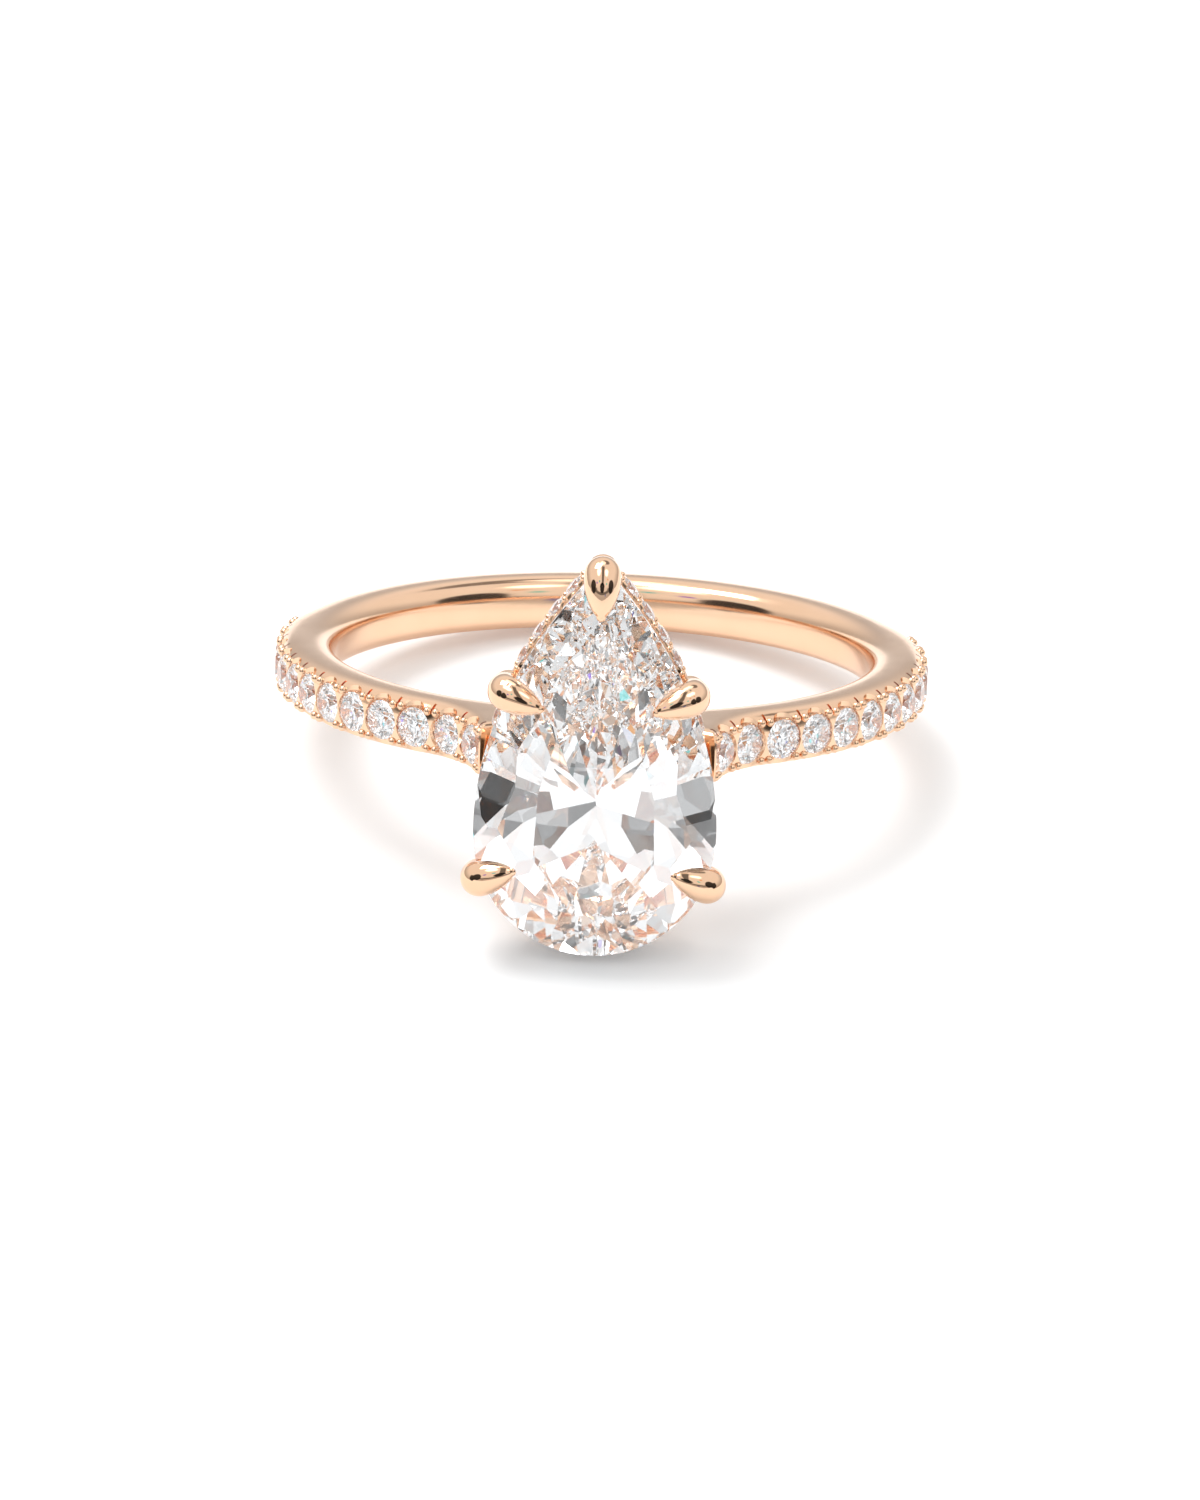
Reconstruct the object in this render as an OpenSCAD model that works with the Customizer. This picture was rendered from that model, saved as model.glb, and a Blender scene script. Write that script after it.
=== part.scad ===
// Pear-cut engagement ring: a cathedral shank with bead-set shoulders, a claw
// basket, and a hidden row of small stones in a rail under the centre stone.
// Lengths are millimetres. The ring is drawn upright (head up, finger axis along
// Y) and then laid on its side, the way it rests on a table: on the round end of
// its head and on the back of the shank. The origin is the middle of the finger
// hole.

/* [Shank] */
// Inside diameter of the finger hole
finger_d = 16.5; // [16:0.1:17]
// Width of the band along the finger
band_w = 1.7; // [1.65:0.05:1.8]
// Radial thickness of the band
band_t = 1.7; // [1.65:0.05:1.8]
// Rounding of the two inside edges
inner_round = 0.36; // [0.3:0.02:0.4]
// Rounding of the two outside edges
outer_round = 0.5; // [0.4:0.02:0.56]

/* [Centre stone] */
// Length of the pear, tip to round end
pear_l = 11.9; // [11.7:0.1:12.1]
// Width of the pear
pear_w = 7.2; // [7.1:0.05:7.3]
// How far the pear sits towards its tip from the middle of the band
pear_shift = 0.3; // [0.2:0.05:0.4]
// Height of the crown above the girdle
crown_h = 1.0; // [0.9:0.05:1.1]
// Thickness of the girdle
girdle_h = 0.16; // [0.12:0.02:0.2]
// Depth of the pavilion below the girdle
pavilion_h = 2.95; // [2.9:0.05:3.0]
// Height of the culet above the finger hole
culet_lift = 1.4; // [1.35:0.05:1.5]
// Size of the table as a share of the outline
table_share = 0.58; // [0.56:0.01:0.6]

/* [Shoulder stones] */
// Diameter of each shoulder stone
shoulder_d = 1.22; // [1.15:0.01:1.24]
// Distance between stone centres along the band
shoulder_pitch = 1.28; // [1.26:0.01:1.32]

/* [Hidden row] */
// Diameter of each stone in the hidden row
halo_d = 0.78; // [0.7:0.02:0.8]

/* [Claws] */
// Diameter of the claw wire where it holds the stone
claw_d = 1.08; // [1.0:0.02:1.12]
// Diameter of the claw wire at its foot
claw_foot_d = 0.8; // [0.7:0.02:0.86]

/* [Hidden] */

finger_r = finger_d / 2;
outer_r = finger_r + band_t;
SHOULDER_N = 12;                   // stones on each shoulder
// Pear outline: a curved wing above the widest row, a half ellipse below it.
half_w = pear_w / 2;
belly = pear_l * 0.315;            // widest row above the round end
wing = pear_l - belly;             // widest row to tip
belly_y = pear_shift - pear_l / 2 + belly;
wing_p = 2.05;
// Heights above the finger axis
culet_z = finger_r + culet_lift;
girdle_z = culet_z + pavilion_h;   // underside of the girdle
girdle_top = girdle_z + girdle_h;
table_z = girdle_top + crown_h;
rail_top = girdle_z - 0.55;
rail_h = 1.0;
rail_low = rail_top - rail_h;
rail_in = 0.58;                     // and reaches this far inside it
rail_out = 0.05;                   // along the wings the rail stands this far outside the girdle
rail_tuck = 0.17;                  // from the shoulders round the belly it is tucked in by this much
halo_z = rail_top - rail_h / 2;
base_z = outer_r - 0.2;
base_top = outer_r + 0.5;
base_kx = 0.49;                    // base rail as a share of the pear
base_ky = 0.44;
base_t = 0.6;
// Cathedral flare: a concave arc that leaves the band at flare_a from the head
flare_a = 32;
flare_sweep = 50;
flare_r = 3.8;
flare_x = (outer_r + flare_r) * sin(flare_a);
flare_z = (outer_r + flare_r) * cos(flare_a);
flare_top = flare_z - flare_r * cos(flare_a + flare_sweep);
flare_len = flare_r * flare_sweep * PI / 180;
gap = 0.02;                        // clearance between a stone and its seat
fit = 0.01;                        // clearance between soldered parts

// The ring leans back until the lowest edge of the head and the back of the
// shank both touch the table.
function lean_for(up, out) = let (a = up + outer_r - outer_round, b = out - band_w / 2 + outer_round)
  atan2(b, a) - asin(outer_round / norm([a, b]));
end_y = pear_l / 2 - pear_shift;
lean = max(lean_for(girdle_z, end_y), lean_for(rail_low, end_y + rail_out - rail_tuck));

rose = [0.93, 0.70, 0.56];
ice = [0.93, 0.95, 0.98];

// Lays the upright ring down on the table.
module rest() { rotate([90 - lean, 0, 0]) children(); }

// ---- pear outline ---------------------------------------------------------
// u runs from 0 (tip) to 1 (round end) down the right-hand side
function unit(v) = v / norm(v);
function wing_x(s) = half_w * (1 - pow(s / wing, wing_p));
function pear_pt(u) = u <= 0.62
  ? let (s = wing * (1 - u / 0.62)) [wing_x(s), belly_y + s]
  : let (a = 90 * (u - 0.62) / 0.38) [half_w * cos(a), belly_y - belly * sin(a)];
function pear_n(u) = u <= 0.62
  ? let (s = wing * (1 - u / 0.62)) unit([1, half_w * wing_p * pow(s / wing, wing_p - 1) / wing])
  : let (a = 90 * (u - 0.62) / 0.38) unit([cos(a) / half_w, -sin(a) / belly]);
function off_pt(u, d) = pear_pt(u) + d * pear_n(u);
// Where the offset outline crosses the middle line at the tip
function tip_y(d) = belly_y + wing + d / pear_n(0)[1];
function mirrored(p) = [for (i = [len(p) - 1:-1:0]) [-p[i][0], p[i][1]]];
function pear_outline(n, d) = let (r = [for (i = [1:n - 1], q = [off_pt(i / n, d)]) if (q[0] > 0.02) q])
  concat([[0, tip_y(d)]], r, [[0, belly_y - belly - d]], mirrored(r));

// The hidden row's rail: over the wings at first, tucked under the girdle lower down
function tuck(u) = let (t = min(1, max(0, (u - 0.3) / 0.13))) rail_tuck * t * t * (3 - 2 * t);
function rail_pt(u, d = 0) = off_pt(u, rail_out + d - tuck(u));
function rail_outline(n, d) = let (r = [for (i = [1:n - 1], q = [rail_pt(i / n, d)]) if (q[0] > 0.02) q])
  concat([[0, tip_y(rail_out + d)]], r, [[0, belly_y - belly - rail_out - d + rail_tuck]], mirrored(r));

// Lengths along the outline from the tip, and the u that lies at a given length
STEPS = 200;
lens = [for (i = 0, s = 0; i <= STEPS;
  i = i + 1, s = i <= STEPS ? s + norm(pear_pt(i / STEPS) - pear_pt((i - 1) / STEPS)) : s) s];
function u_at(mm, i = 1) = i >= STEPS ? 1
  : lens[i] >= mm ? (i - 1 + (mm - lens[i - 1]) / (lens[i] - lens[i - 1])) / STEPS : u_at(mm, i + 1);
function len_at_y(y, i = 1) = i >= STEPS ? lens[STEPS]
  : pear_pt(i / STEPS)[1] <= y ? lens[i] : len_at_y(y, i + 1);

// ---- round brilliant ------------------------------------------------------
// The top of the girdle is at z = 0; d is the girdle diameter
function rp(r, a, z) = [r * cos(a), r * sin(a), z];
module brilliant(d) {
  rg = d / 2;
  hc = 0.155 * d; gt = 0.03 * d; hp = 0.43 * d;
  rt = 0.57 * rg;
  rm = 0.80 * rg; zm = hc * (rg - rm * cos(22.5)) / (rg - rt);
  rl = 0.24 * rg; zl = -gt - hp * (rg - rl * cos(22.5)) / rg;
  pts = concat(
    [for (k = [0:7]) rp(rt, 45 * k, hc)],            // 0-7 table
    [for (k = [0:7]) rp(rm, 45 * k + 22.5, zm)],     // 8-15 crown meets
    [for (k = [0:15]) rp(rg, 22.5 * k, 0)],          // 16-31 upper girdle
    [for (k = [0:15]) rp(rg, 22.5 * k, -gt)],        // 32-47 lower girdle
    [for (k = [0:7]) rp(rl, 45 * k + 22.5, zl)],     // 48-55 pavilion meets
    [[0, 0, -gt - hp]]);                              // 56 culet
  hull() polyhedron(points = pts, faces = [for (k = [0:2:54]) [k, k + 1, 56]]);
}
// A drilled and flared seat for that stone in the shoulders. The flares run into
// each other, which leaves the scalloped edge of a cut-down setting.
module seat(d) {
  r = d / 2 + gap;
  translate([0, 0, -0.52 * d]) cylinder(h = 0.9 * d, r1 = 0.05, r2 = r * 1.9, $fn = 32);
}
// The narrower seat in the rail: a cone for the pavilion and a straight opening
module rail_seat(d) {
  r = d / 2 + gap;
  rotate_extrude($fn = 24) polygon([[0, -0.49 * d], [r, -0.06 * d], [r, 0.3 * d], [0, 0.3 * d]]);
}

// ---- places along the band -------------------------------------------------
// s is the length along the outside of the band from the top of the flare
module on_band(s, hand, sink = 0) {
  if (s < flare_len) {
    a = flare_a + flare_sweep * (1 - s / flare_len);
    translate([hand * (flare_x - flare_r * sin(a)), 0, flare_z - flare_r * cos(a)])
      rotate([0, hand * a, 0]) translate([0, 0, -sink]) children();
  } else {
    a = flare_a + (s - flare_len) * 180 / PI / outer_r;
    rotate([0, hand * a, 0]) translate([0, 0, outer_r - sink]) children();
  }
}
first_len = 1.12;                   // first stone, from the top of the flare
girdle_sink = 0.09;                 // girdles sit just under the metal
function stone_s(i) = first_len + i * shoulder_pitch;

// ---- shank ------------------------------------------------------------------
module band_profile() {
  w = band_w / 2; i = inner_round; o = outer_round; r0 = finger_r; r1 = outer_r;
  // inside edges are rounded, which leaves a true cylinder along the middle
  polygon(concat(
    [for (a = [0:15:90]) [r0 + i - i * cos(a), -w + i - i * sin(a)]],
    [for (a = [0:15:90]) [r1 - o + o * sin(a), -w + o - o * cos(a)]],
    [for (a = [0:15:90]) [r1 - o + o * cos(a), w - o + o * sin(a)]],
    [for (a = [0:15:90]) [r0 + i - i * sin(a), w - i + i * cos(a)]]));
}
module shoulder_web(hand) {
  low = [for (x = [2.7:0.9:5.4]) [x, sqrt(pow(outer_r - 0.6, 2) - x * x)]];
  difference() {
    rotate([90, 0, 0]) translate([0, 0, -band_w / 2]) linear_extrude(height = band_w)
      polygon([for (p = concat(low,
        [for (a = [flare_a:5:flare_a + flare_sweep]) [flare_x - flare_r * sin(a), flare_z - flare_r * cos(a)]],
        [[2.7, flare_top]]))
          [hand * p[0], p[1]]]);
    rail_room();
  }
}
// The space the hidden row's rail and what it surrounds take up
module rail_room() {
  translate([0, 0, rail_low - fit]) linear_extrude(height = 3) polygon(rail_outline(36, fit));
}
module culet_room() {
  translate([0, belly_y + 0.35, culet_z - 0.1]) cylinder(h = 2, r1 = 0.1, r2 = 2.5, $fn = 48);
}
module shank() {
  color(rose) rest() difference() {
    union() {
      rotate([90, 0, 0]) rotate_extrude($fn = 180) band_profile();
      shoulder_web(1);
      shoulder_web(-1);
    }
    for (hand = [-1, 1], i = [0:SHOULDER_N - 1]) on_band(stone_s(i), hand, girdle_sink) seat(shoulder_d);
    culet_room();
  }
}

// ---- claws ----------------------------------------------------------------
// Outline length of each claw from the tip: tip, upper pair, lower pair
upper_y = 2.35;
lower_y = belly_y - belly * sin(20.5);
claw_len = [0, len_at_y(upper_y), len_at_y(lower_y)];
claw_dir = [[0, 1], [cos(18), sin(18)], pear_n(u_at(claw_len[2]))];
function claw_xy(k, d) = (k == 0 ? [0, belly_y + wing] : pear_pt(u_at(claw_len[k]))) + d * claw_dir[k];
// The foot stands on the middle of the base rail
function foot_xy(k) = let (p = claw_xy(k, 0), q = [p[0] * base_kx, p[1] * base_ky]) q - 0.28 * unit(q);
// Wire stations above the foot: [distance outside the outline, height, radius]
function claw_path(k) = let (r = claw_d / 2) k == 0
  ? [[-0.45, girdle_z - 0.75, r * 0.84], [-0.34, girdle_z - 0.2, r * 0.96], [-0.36, girdle_top + 0.1, r],
     [-0.68, girdle_top + 0.36, r * 0.96], [-1.02, girdle_top + 0.52, r * 0.72], [-1.28, girdle_top + 0.62, r * 0.32]]
  : [[-0.2, girdle_z - 0.75, r * 0.84], [0.08, girdle_z - 0.2, r * 0.94], [0.08, girdle_top + 0.1, r],
     [-0.28, girdle_top + 0.38, r * 0.93], [-0.62, girdle_top + 0.56, r * 0.66], [-0.92, girdle_top + 0.68, r * 0.28]];
module station(c, z, r) { translate([c[0], c[1], z]) sphere(r = r, $fn = 16); }
module claw_wire(k, grow = 0) {
  p = claw_path(k); f = foot_xy(k);
  intersection() {
    union() {
      hull() {
        station(f, base_top, claw_foot_d / 2 + grow);
        station(claw_xy(k, p[0][0]), p[0][1], p[0][2] + grow);
      }
      for (i = [0:len(p) - 2]) hull() for (q = [p[i], p[i + 1]])
        station(claw_xy(k, q[0]), q[1], q[2] + grow);
    }
    translate([-10, -10, base_top + fit]) cube([20, 20, 10]);
  }
}
module claw(k, hand = 1) {
  color(rose) rest() mirror([hand < 0 ? 1 : 0, 0, 0]) difference() {
    claw_wire(k);
    stone_blank(0.015);
    // the wires stop at the faces of the shoulders
    hull() translate([-6, -band_w / 2 - fit, 8]) cube([12, band_w + 2 * fit, 3.4]);
  }
}

// ---- rails ----------------------------------------------------------------
module base_rail() {
  color(rose) rest() difference() {
    translate([0, 0, base_z]) linear_extrude(height = base_top - base_z) difference() {
      polygon([for (p = pear_outline(24, 0)) [p[0] * base_kx, p[1] * base_ky]]);
      polygon([for (p = pear_outline(24, -base_t / base_ky)) [p[0] * base_kx, p[1] * base_ky]]);
    }
    rotate([90, 0, 0]) cylinder(h = band_w + 2 * fit, r = outer_r + fit, center = true, $fn = 180);
    culet_room();
  }
}

// Rows of the hidden stones on each hand: [first, last] outline length and count
shoulder_top = len_at_y(band_w / 2);
shoulder_low = len_at_y(-band_w / 2);
rows = [[0.85, claw_len[1] - 0.56, 4], [claw_len[1] + 0.5, shoulder_top - 0.0, 1],
  [shoulder_low + 0.04, claw_len[2] - 0.56, 2], [claw_len[2] + 0.56, lens[STEPS], 4]];
halo_at = [for (r = rows, i = [0:r[2] - 1]) r[0] + (r[1] - r[0]) * (i + 0.5) / r[2]];
module on_rail(mm, hand, sink = 0) {
  u = u_at(mm); p = rail_pt(u); n = pear_n(u);
  translate([hand * p[0], p[1], halo_z]) rotate([0, 0, atan2(n[1], hand * n[0])]) rotate([0, 90, 0])
    translate([0, 0, -sink]) children();
}
halo_sink = 0.04;
module halo_rail() {
  color(rose) rest() difference() {
    translate([0, 0, rail_low]) linear_extrude(height = rail_h) difference() {
      polygon(rail_outline(36, 0));
      polygon(pear_outline(36, -rail_in));
    }
    for (hand = [-1, 1], s = halo_at) on_rail(s, hand, halo_sink) rail_seat(halo_d);
    for (k = [0:2], m = k == 0 ? [0] : [0, 1]) mirror([m, 0, 0]) claw_wire(k, fit);
  }
}

// ---- stones -----------------------------------------------------------------
module halo_stone(i, hand) { color(ice) rest() on_rail(halo_at[i], hand, halo_sink) brilliant(halo_d); }
module shoulder_stone(i, hand) { color(ice) rest() on_band(stone_s(i), hand, girdle_sink) brilliant(shoulder_d); }

// Centre stone. Each facet is a flat cut: [point on it, outward normal].
main_u = [0, 0.34, 0.66, 0.84, 1];
half_u = [0.03, 0.2, 0.42, 0.57, 0.71, 0.79, 0.88, 0.96];
culet = [0, belly_y + 0.35];
function flat_n(u) = u == 0 ? [0, 1] : u == 1 ? [0, -1] : pear_n(u);
function reach(p, n) = (p - culet) * n;
function pav_cut(u, k) = let (p = pear_pt(u), n = flat_n(u))
  [[p[0], p[1], girdle_z], [n[0] * pavilion_h * k, n[1] * pavilion_h * k, -reach(p, n)]];
function crown_cut(u, k) = let (p = pear_pt(u), n = flat_n(u))
  [[p[0], p[1], girdle_top], [n[0] * crown_h * k, n[1] * crown_h * k, (1 - table_share) * reach(p, n)]];
function table_pt(u) = let (p = pear_pt(u), n = flat_n(u)) p - n * (1 - table_share) * reach(p, n);
function star_cut(a, b) = let (p = table_pt(a), q = table_pt(b), e = unit(q - p), n = [-e[1], e[0]],
  m = n * (p - culet) < 0 ? -n : n) [[p[0], p[1], table_z], [m[0] * 0.42, m[1] * 0.42, 1]];
cuts = concat(
  [for (u = main_u) pav_cut(u, 1)],
  [for (u = half_u) pav_cut(u, 1.07)],
  [for (u = main_u) crown_cut(u, 1)],
  [for (u = half_u) crown_cut(u, 1.16)],
  [for (i = [0:3]) star_cut(main_u[i], main_u[i + 1])]);
module cut_away(c) {
  n = unit(c[1]);
  translate(c[0]) rotate([0, 0, atan2(n[1], n[0])]) rotate([0, acos(n[2]), 0])
    translate([-12, -12, 0]) cube([24, 24, 12]);
}
module centre_stone() {
  color(ice) rest() hull() difference() {
    translate([0, 0, culet_z]) linear_extrude(height = table_z - culet_z) polygon(pear_outline(48, 0));
    for (c = cuts, m = [0, 1]) if (m == 0 || abs(c[1][0]) > 0.001) mirror([m, 0, 0]) cut_away(c);
  }
}
// A plain envelope of the stone, a little larger all round, for the parts it sits in
module stone_blank(g) {
  hull() {
    translate([0, 0, girdle_z - g]) linear_extrude(height = girdle_h + 2 * g) polygon(pear_outline(32, g));
    translate([culet[0], culet[1], culet_z - g]) cylinder(h = 0.01, r = 0.05, $fn = 8);
    translate([0, 0, table_z + g]) linear_extrude(height = 0.01)
      polygon([for (p = pear_outline(32, g)) [p[0] * table_share, culet[1] + (p[1] - culet[1]) * table_share]]);
  }
}

shank();
base_rail();
halo_rail();
claw(0);  // claw_tip
claw(1, -1);  // claw_upper_left
claw(1, 1);  // claw_upper_right
claw(2, -1);  // claw_lower_left
claw(2, 1);  // claw_lower_right
centre_stone();
shoulder_stone(0, -1);  // shoulder_stone_left_01
shoulder_stone(1, -1);  // shoulder_stone_left_02
shoulder_stone(2, -1);  // shoulder_stone_left_03
shoulder_stone(3, -1);  // shoulder_stone_left_04
shoulder_stone(4, -1);  // shoulder_stone_left_05
shoulder_stone(5, -1);  // shoulder_stone_left_06
shoulder_stone(6, -1);  // shoulder_stone_left_07
shoulder_stone(7, -1);  // shoulder_stone_left_08
shoulder_stone(8, -1);  // shoulder_stone_left_09
shoulder_stone(9, -1);  // shoulder_stone_left_10
shoulder_stone(10, -1);  // shoulder_stone_left_11
shoulder_stone(11, -1);  // shoulder_stone_left_12
shoulder_stone(0, 1);  // shoulder_stone_right_01
shoulder_stone(1, 1);  // shoulder_stone_right_02
shoulder_stone(2, 1);  // shoulder_stone_right_03
shoulder_stone(3, 1);  // shoulder_stone_right_04
shoulder_stone(4, 1);  // shoulder_stone_right_05
shoulder_stone(5, 1);  // shoulder_stone_right_06
shoulder_stone(6, 1);  // shoulder_stone_right_07
shoulder_stone(7, 1);  // shoulder_stone_right_08
shoulder_stone(8, 1);  // shoulder_stone_right_09
shoulder_stone(9, 1);  // shoulder_stone_right_10
shoulder_stone(10, 1);  // shoulder_stone_right_11
shoulder_stone(11, 1);  // shoulder_stone_right_12
halo_stone(0, -1);  // halo_stone_left_01
halo_stone(1, -1);  // halo_stone_left_02
halo_stone(2, -1);  // halo_stone_left_03
halo_stone(3, -1);  // halo_stone_left_04
halo_stone(4, -1);  // halo_stone_left_05
halo_stone(5, -1);  // halo_stone_left_06
halo_stone(6, -1);  // halo_stone_left_07
halo_stone(7, -1);  // halo_stone_left_08
halo_stone(8, -1);  // halo_stone_left_09
halo_stone(9, -1);  // halo_stone_left_10
halo_stone(10, -1);  // halo_stone_left_11
halo_stone(0, 1);  // halo_stone_right_01
halo_stone(1, 1);  // halo_stone_right_02
halo_stone(2, 1);  // halo_stone_right_03
halo_stone(3, 1);  // halo_stone_right_04
halo_stone(4, 1);  // halo_stone_right_05
halo_stone(5, 1);  // halo_stone_right_06
halo_stone(6, 1);  // halo_stone_right_07
halo_stone(7, 1);  // halo_stone_right_08
halo_stone(8, 1);  // halo_stone_right_09
halo_stone(9, 1);  // halo_stone_right_10
halo_stone(10, 1);  // halo_stone_right_11
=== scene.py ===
import math
import bmesh
import bpy
from mathutils import Matrix, Vector


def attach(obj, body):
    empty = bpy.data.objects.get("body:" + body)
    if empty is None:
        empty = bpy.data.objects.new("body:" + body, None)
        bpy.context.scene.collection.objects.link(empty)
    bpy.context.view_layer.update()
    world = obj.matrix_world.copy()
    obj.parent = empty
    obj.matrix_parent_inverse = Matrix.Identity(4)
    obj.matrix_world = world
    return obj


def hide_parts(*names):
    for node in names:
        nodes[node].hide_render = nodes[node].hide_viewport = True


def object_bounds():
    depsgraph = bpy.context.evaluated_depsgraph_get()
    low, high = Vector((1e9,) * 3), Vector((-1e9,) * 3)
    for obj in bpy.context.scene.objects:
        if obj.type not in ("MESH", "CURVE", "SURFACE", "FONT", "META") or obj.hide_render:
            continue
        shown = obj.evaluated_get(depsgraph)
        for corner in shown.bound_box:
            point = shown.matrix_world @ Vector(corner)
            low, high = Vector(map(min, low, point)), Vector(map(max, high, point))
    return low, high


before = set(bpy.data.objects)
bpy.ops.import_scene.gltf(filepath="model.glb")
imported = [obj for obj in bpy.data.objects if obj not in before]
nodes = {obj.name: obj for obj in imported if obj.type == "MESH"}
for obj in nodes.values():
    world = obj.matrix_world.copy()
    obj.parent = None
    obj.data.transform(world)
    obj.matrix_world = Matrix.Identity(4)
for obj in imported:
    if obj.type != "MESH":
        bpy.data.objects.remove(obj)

cad_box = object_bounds()

# ---------------------------------------------------------------------------
# Dimensions, in millimetres, upright: X right, Y along the finger axis with the
# tip of the pear at +Y, Z towards the head. They repeat the CAD model's.
# ---------------------------------------------------------------------------
FR, BT, BW = 8.25, 1.7, 1.7
OR = FR + BT
IN_R, OUT_R = 0.36, 0.5
PL, PW, SHIFT = 11.9, 7.2, 0.3
CROWN, GIRDLE, PAV, LIFT, TABLE = 1.0, 0.16, 2.95, 1.4, 0.58
SD, SP, SN = 1.22, 1.28, 12
HD = 0.78
HW = PW / 2
BELLY = PL * 0.315
WING = PL - BELLY
BY = SHIFT - PL / 2 + BELLY
WP = 2.05
CZ = FR + LIFT
GZ = CZ + PAV
GT = GZ + GIRDLE
TZ = GT + CROWN
RTOP, RH, RIN, ROUT, TUCK = GZ - 0.55, 1.0, 0.58, 0.05, 0.17
RLOW = RTOP - RH
HZ = RTOP - RH / 2
BASE_Z, BASE_TOP, KX, KY, BASE_T = OR - 0.2, OR + 0.5, 0.49, 0.44, 0.6
FA, FS, FLR = 32.0, 50.0, 3.8
FX = (OR + FLR) * math.sin(math.radians(FA))
FZ = (OR + FLR) * math.cos(math.radians(FA))
FTOP = FZ - FLR * math.cos(math.radians(FA + FS))
FLEN = FLR * math.radians(FS)
FIRST, SINK, HSINK = 1.12, 0.09, 0.04


def lean_for(up, out):
    a, b = up + OR - OUT_R, out - BW / 2 + OUT_R
    return math.atan2(b, a) - math.asin(OUT_R / math.hypot(a, b))


END_Y = PL / 2 - SHIFT
LEAN = max(lean_for(GZ, END_Y), lean_for(RLOW, END_Y + ROUT - TUCK))
TO_ROW = Matrix.Rotation(math.pi / 2 - LEAN, 4, "X") @ Matrix.Scale(0.001, 4)


# ---------------------------------------------------------------------------
# Outline and places
# ---------------------------------------------------------------------------
def unit2(x, y):
    d = math.hypot(x, y)
    return (x / d, y / d)


def pear_pt(u):
    if u <= 0.62:
        s = WING * (1 - u / 0.62)
        return (HW * (1 - (s / WING) ** WP), BY + s)
    a = math.radians(90 * (u - 0.62) / 0.38)
    return (HW * math.cos(a), BY - BELLY * math.sin(a))


def pear_n(u):
    if u <= 0.62:
        s = WING * (1 - u / 0.62)
        return unit2(1, HW * WP * (s / WING) ** (WP - 1) / WING)
    a = math.radians(90 * (u - 0.62) / 0.38)
    return unit2(math.cos(a) / HW, -math.sin(a) / BELLY)


def off_pt(u, d):
    p, n = pear_pt(u), pear_n(u)
    return (p[0] + d * n[0], p[1] + d * n[1])


def tuck(u):
    t = min(1.0, max(0.0, (u - 0.3) / 0.13))
    return TUCK * t * t * (3 - 2 * t)


def outline(n, d, drift=0.0):
    right = [q for q in (off_pt(i / n, d - drift * tuck(i / n)) for i in range(1, n)) if q[0] > 0.02]
    top = (0.0, BY + WING + d / pear_n(0)[1])
    bottom = (0.0, BY - BELLY - d + drift * TUCK)
    return [top] + right + [bottom] + [(-x, y) for x, y in reversed(right)]


STEPS = 200
LENS = [0.0]
for _i in range(1, STEPS + 1):
    _p, _q = pear_pt(_i / STEPS), pear_pt((_i - 1) / STEPS)
    LENS.append(LENS[-1] + math.hypot(_p[0] - _q[0], _p[1] - _q[1]))


def u_at(mm):
    for i in range(1, STEPS):
        if LENS[i] >= mm:
            return (i - 1 + (mm - LENS[i - 1]) / (LENS[i] - LENS[i - 1])) / STEPS
    return 1.0


def len_at_y(y):
    for i in range(1, STEPS):
        if pear_pt(i / STEPS)[1] <= y:
            return LENS[i]
    return LENS[STEPS]


def rot(axis, deg):
    return Matrix.Rotation(math.radians(deg), 4, axis)


def on_band(s, hand, sink=0.0):
    if s < FLEN:
        a = FA + FS * (1 - s / FLEN)
        r = math.radians(a)
        at = Matrix.Translation((hand * (FX - FLR * math.sin(r)), 0, FZ - FLR * math.cos(r)))
        return at @ rot("Y", hand * a) @ Matrix.Translation((0, 0, -sink))
    a = FA + math.degrees((s - FLEN) / OR)
    return rot("Y", hand * a) @ Matrix.Translation((0, 0, OR - sink))


def stone_s(i):
    return FIRST + i * SP


UPPER_Y = 2.35
LOWER_Y = BY - BELLY * math.sin(math.radians(20.5))
CLAW_LEN = [0.0, len_at_y(UPPER_Y), len_at_y(LOWER_Y)]
ROWS = [
    (0.85, CLAW_LEN[1] - 0.56, 4),
    (CLAW_LEN[1] + 0.5, len_at_y(BW / 2), 1),
    (len_at_y(-BW / 2) + 0.04, CLAW_LEN[2] - 0.56, 2),
    (CLAW_LEN[2] + 0.56, LENS[STEPS], 4),
]
HALO_AT = [a + (b - a) * (i + 0.5) / n for a, b, n in ROWS for i in range(n)]


def on_rail(mm, hand, sink=0.0):
    u = u_at(mm)
    p, n = off_pt(u, ROUT - tuck(u)), pear_n(u)
    return (
        Matrix.Translation((hand * p[0], p[1], HZ))
        @ rot("Z", math.degrees(math.atan2(n[1], hand * n[0])))
        @ rot("Y", 90)
        @ Matrix.Translation((0, 0, -sink))
    )


# ---------------------------------------------------------------------------
# Mesh helpers. Everything is built in upright millimetres.
# ---------------------------------------------------------------------------
def mesh_object(name, verts, faces):
    me = bpy.data.meshes.new(name)
    me.from_pydata([tuple(v) for v in verts], [], faces)
    me.update()
    bm = bmesh.new()
    bm.from_mesh(me)
    bmesh.ops.recalc_face_normals(bm, faces=bm.faces)
    bm.to_mesh(me)
    bm.free()
    ob = bpy.data.objects.new(name, me)
    bpy.context.scene.collection.objects.link(ob)
    return ob


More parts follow.
